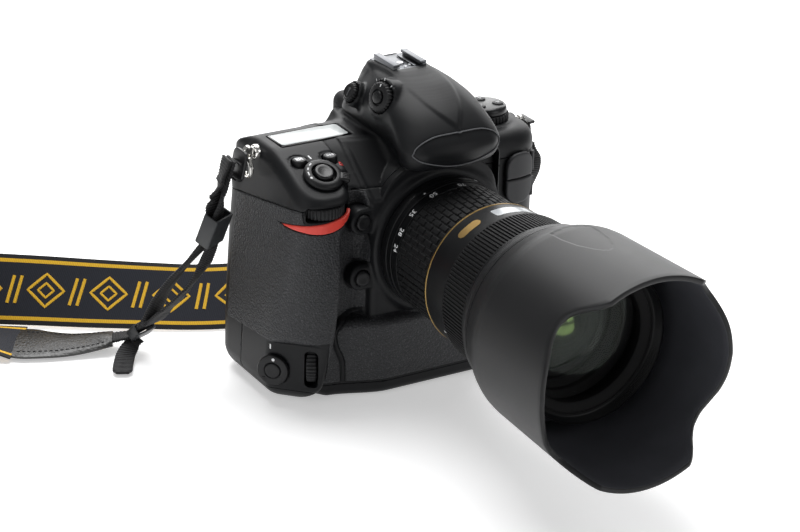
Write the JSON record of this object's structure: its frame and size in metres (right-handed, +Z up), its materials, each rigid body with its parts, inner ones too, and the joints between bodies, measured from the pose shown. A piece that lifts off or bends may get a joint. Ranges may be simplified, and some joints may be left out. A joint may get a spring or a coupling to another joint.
{
  "type": "dslr camera",
  "caption": "Digital single-lens reflex camera with built-in vertical grip, zoom lens with petal hood, dials, buttons and a neck strap.",
  "frame": {"origin": "mouth of the tripod socket on the base plane, under the optical axis", "axes": "+Z up out of the top, -Y along the optical axis out of the lens, -X towards the hand grip"},
  "size_m": [0.4073, 0.4281, 0.16],
  "materials": {
    "body_paint": "satin",
    "frame_metal": "satin",
    "grip_rubber": "matte",
    "control_plastic": "satin",
    "lens_plastic": "satin",
    "lens_rubber": "matte",
    "mount_steel": "satin",
    "fitting_steel": "polished",
    "display_glass": "gloss",
    "dark_glass": "gloss",
    "optical_glass": "polished",
    "accent_red": "satin",
    "mirror_glass": "polished",
    "board": "matte",
    "battery_case": "matte",
    "webbing": "matte",
    "leather": "satin"
  },
  "bodies": {
    "root": {"chassis": "frame_metal", "front_cover": "body_paint", "top_cover": "body_paint", "rear_cover": "body_paint", "bottom_cover": "body_paint", "grip_rubber": "grip_rubber", "rear_rubber": "grip_rubber", "lens_mount_ring": "mount_steel", "hot_shoe": "mount_steel", "top_lcd_window": "display_glass", "rear_monitor": "dark_glass", "eyepiece_cup": "grip_rubber", "eyepiece_glass": "optical_glass", "accent_strip": "accent_red", "tripod_bush": "mount_steel", "strap_lugs": "fitting_steel", "body_screws": "mount_steel", "pentaprism": "optical_glass", "focusing_screen": "optical_glass", "image_sensor": "board", "shutter_unit": "frame_metal", "main_board": "board", "strap_neckband": "webbing", "strap_webbing": "webbing", "strap_ends": "leather", "strap_fittings": "fitting_steel"},
    "shutter_button": {"shutter_button": "control_plastic"},
    "power_switch": {"power_switch": "control_plastic"},
    "mode_button": {"mode_button": "control_plastic"},
    "exposure_button": {"exposure_button": "control_plastic"},
    "front_dial": {"front_dial": "control_plastic"},
    "vertical_shutter_button": {"vertical_shutter_button": "control_plastic"},
    "vertical_lock_collar": {"vertical_lock_collar": "control_plastic"},
    "vertical_dial": {"vertical_dial": "control_plastic"},
    "preview_button": {"preview_button": "control_plastic"},
    "function_button": {"function_button": "control_plastic"},
    "lens_release_button": {"lens_release_button": "control_plastic"},
    "metering_knob": {"metering_knob": "control_plastic"},
    "dioptre_knob": {"dioptre_knob": "control_plastic"},
    "release_dial": {"release_dial": "control_plastic"},
    "quality_button": {"quality_button": "control_plastic"},
    "balance_button": {"balance_button": "control_plastic"},
    "sensitivity_button": {"sensitivity_button": "control_plastic"},
    "focus_mode_lever": {"focus_mode_lever": "control_plastic"},
    "rear_dial": {"rear_dial": "control_plastic"},
    "multi_selector": {"multi_selector": "control_plastic"},
    "card_door": {"card_door": "body_paint"},
    "reflex_mirror": {"reflex_mirror": "mirror_glass"},
    "battery": {"battery": "battery_case"},
    "playback_button": {"playback_button": "control_plastic"},
    "menu_button": {"menu_button": "control_plastic"},
    "terminal_cover_upper": {"terminal_cover_upper": "grip_rubber"},
    "terminal_cover_lower": {"terminal_cover_lower": "grip_rubber"},
    "lens": {"lens_barrel": "lens_plastic", "rear_element": "optical_glass"},
    "zoom_ring": {"zoom_ring": "lens_rubber"},
    "focus_ring": {"focus_ring": "lens_rubber"},
    "inner_barrel": {"inner_barrel": "lens_plastic", "front_element": "optical_glass"},
    "lens_hood": {"lens_hood": "lens_plastic"}
  },
  "joints": [
    {"name": "shutter_button_press", "type": "slide", "parent": "root", "child": "shutter_button", "axis": [0, 0.4226, -0.9063], "range_m": [0, 0.0015], "stiffness_N_per_m": 300},
    {"name": "power_switch_turn", "type": "hinge", "parent": "root", "child": "power_switch", "pos_m": [-0.0606, -0.0285, 0.11831], "axis": [0, -0.4226, 0.9063], "range_deg": [-20, 40]},
    {"name": "mode_button_press", "type": "slide", "parent": "root", "child": "mode_button", "axis": [0, 0, -1], "range_m": [0, 0.0008], "stiffness_N_per_m": 300},
    {"name": "exposure_button_press", "type": "slide", "parent": "root", "child": "exposure_button", "axis": [0, 0, -1], "range_m": [0, 0.0008], "stiffness_N_per_m": 300},
    {"name": "front_dial_turn", "type": "hinge", "parent": "root", "child": "front_dial", "pos_m": [-0.064, -0.0336, 0.1046], "axis": [0, 0, 1], "continuous": true},
    {"name": "vertical_shutter_button_press", "type": "slide", "parent": "root", "child": "vertical_shutter_button", "axis": [0.7071, 0.7071, 0], "range_m": [0, 0.0012], "stiffness_N_per_m": 300},
    {"name": "vertical_lock_collar_turn", "type": "hinge", "parent": "root", "child": "vertical_lock_collar", "pos_m": [-0.0853, -0.0247, 0.0184], "axis": [-0.7071, -0.7071, 0], "range_deg": [0, 60]},
    {"name": "vertical_dial_turn", "type": "hinge", "parent": "root", "child": "vertical_dial", "pos_m": [-0.0672, -0.03105, 0.0205], "axis": [0.866, -0.5, 0], "continuous": true},
    {"name": "preview_button_press", "type": "slide", "parent": "root", "child": "preview_button", "axis": [0, 1, 0], "range_m": [0, 0.001], "stiffness_N_per_m": 300},
    {"name": "function_button_press", "type": "slide", "parent": "root", "child": "function_button", "axis": [0, 1, 0], "range_m": [0, 0.001], "stiffness_N_per_m": 300},
    {"name": "lens_release_button_press", "type": "slide", "parent": "root", "child": "lens_release_button", "axis": [0, 1, 0], "range_m": [0, 0.0012], "stiffness_N_per_m": 300},
    {"name": "metering_knob_turn", "type": "hinge", "parent": "root", "child": "metering_knob", "pos_m": [-0.0216, -0.0182, 0.149], "axis": [-0.9494, -0.1504, 0.2756], "range_deg": [-45, 45]},
    {"name": "dioptre_knob_turn", "type": "hinge", "parent": "root", "child": "dioptre_knob", "pos_m": [-0.0254, 0.004, 0.1444], "axis": [-0.8829, 0, 0.4695], "range_deg": [-150, 150]},
    {"name": "release_dial_turn", "type": "hinge", "parent": "root", "child": "release_dial", "pos_m": [0.0485, -0.002, 0.1228], "axis": [0, 0, 1], "range_deg": [-90, 90]},
    {"name": "quality_button_press", "type": "slide", "parent": "root", "child": "quality_button", "axis": [0, 0, -1], "range_m": [0, 0.0008], "stiffness_N_per_m": 300},
    {"name": "balance_button_press", "type": "slide", "parent": "root", "child": "balance_button", "axis": [0, 0, -1], "range_m": [0, 0.0008], "stiffness_N_per_m": 300},
    {"name": "sensitivity_button_press", "type": "slide", "parent": "root", "child": "sensitivity_button", "axis": [0, 0, -1], "range_m": [0, 0.0008], "stiffness_N_per_m": 300},
    {"name": "focus_mode_lever_turn", "type": "hinge", "parent": "root", "child": "focus_mode_lever", "pos_m": [0.052, -0.03, 0.04], "axis": [0, -1, 0], "range_deg": [-40, 40]},
    {"name": "rear_dial_turn", "type": "hinge", "parent": "root", "child": "rear_dial", "pos_m": [-0.0625, 0.0256, 0.1136], "axis": [0, 0, 1], "continuous": true},
    {"name": "multi_selector_tilt", "type": "hinge", "parent": "root", "child": "multi_selector", "pos_m": [-0.058, 0.033, 0.09], "axis": [1, 0, 0], "range_deg": [-8, 8], "stiffness_Nm_per_rad": 0.05},
    {"name": "card_door_swing", "type": "hinge", "parent": "root", "child": "card_door", "pos_m": [-0.0739, 0.03575, 0.059], "axis": [0, 0, 1], "range_deg": [0, 80]},
    {"name": "reflex_mirror_swing", "type": "hinge", "parent": "root", "child": "reflex_mirror", "pos_m": [0, -0.0019, 0.09], "axis": [-1, 0, 0], "range_deg": [0, 45]},
    {"name": "battery_slide", "type": "slide", "parent": "root", "child": "battery", "axis": [1, 0, 0], "range_m": [0, 0.1]},
    {"name": "playback_button_press", "type": "slide", "parent": "root", "child": "playback_button", "axis": [0, -1, 0], "range_m": [0, 0.0008], "stiffness_N_per_m": 300},
    {"name": "menu_button_press", "type": "slide", "parent": "root", "child": "menu_button", "axis": [0, -1, 0], "range_m": [0, 0.0008], "stiffness_N_per_m": 300},
    {"name": "terminal_cover_upper_swing", "type": "hinge", "parent": "root", "child": "terminal_cover_upper", "pos_m": [0.06182, -0.0262, 0.104], "axis": [0, 0, 1], "range_deg": [0, 100]},
    {"name": "terminal_cover_lower_swing", "type": "hinge", "parent": "root", "child": "terminal_cover_lower", "pos_m": [0.06182, -0.0262, 0.0902], "axis": [0, 0, 1], "range_deg": [0, 100]},
    {"name": "lens_bayonet_turn", "type": "hinge", "parent": "root", "child": "lens", "pos_m": [0, -0.041, 0.077], "axis": [0, -1, 0], "range_deg": [0, 60]},
    {"name": "zoom_ring_turn", "type": "hinge", "parent": "lens", "child": "zoom_ring", "pos_m": [0, -0.071, 0.077], "axis": [0, -1, 0], "range_deg": [-2, 78]},
    {"name": "focus_ring_turn", "type": "hinge", "parent": "lens", "child": "focus_ring", "pos_m": [0, -0.117, 0.077], "axis": [0, -1, 0], "range_deg": [-70, 70]},
    {"name": "inner_barrel_slide", "type": "slide", "parent": "lens", "child": "inner_barrel", "axis": [0, 1, 0], "range_m": [0, 0.02]},
    {"name": "lens_hood_turn", "type": "hinge", "parent": "lens", "child": "lens_hood", "pos_m": [0, -0.141, 0.077], "axis": [0, -1, 0], "range_deg": [0, 60]}
  ],
  "couplings": [
    {"joint": "zoom_ring_turn", "follows": "inner_barrel_slide", "rad_per_m": 65.45}
  ]
}
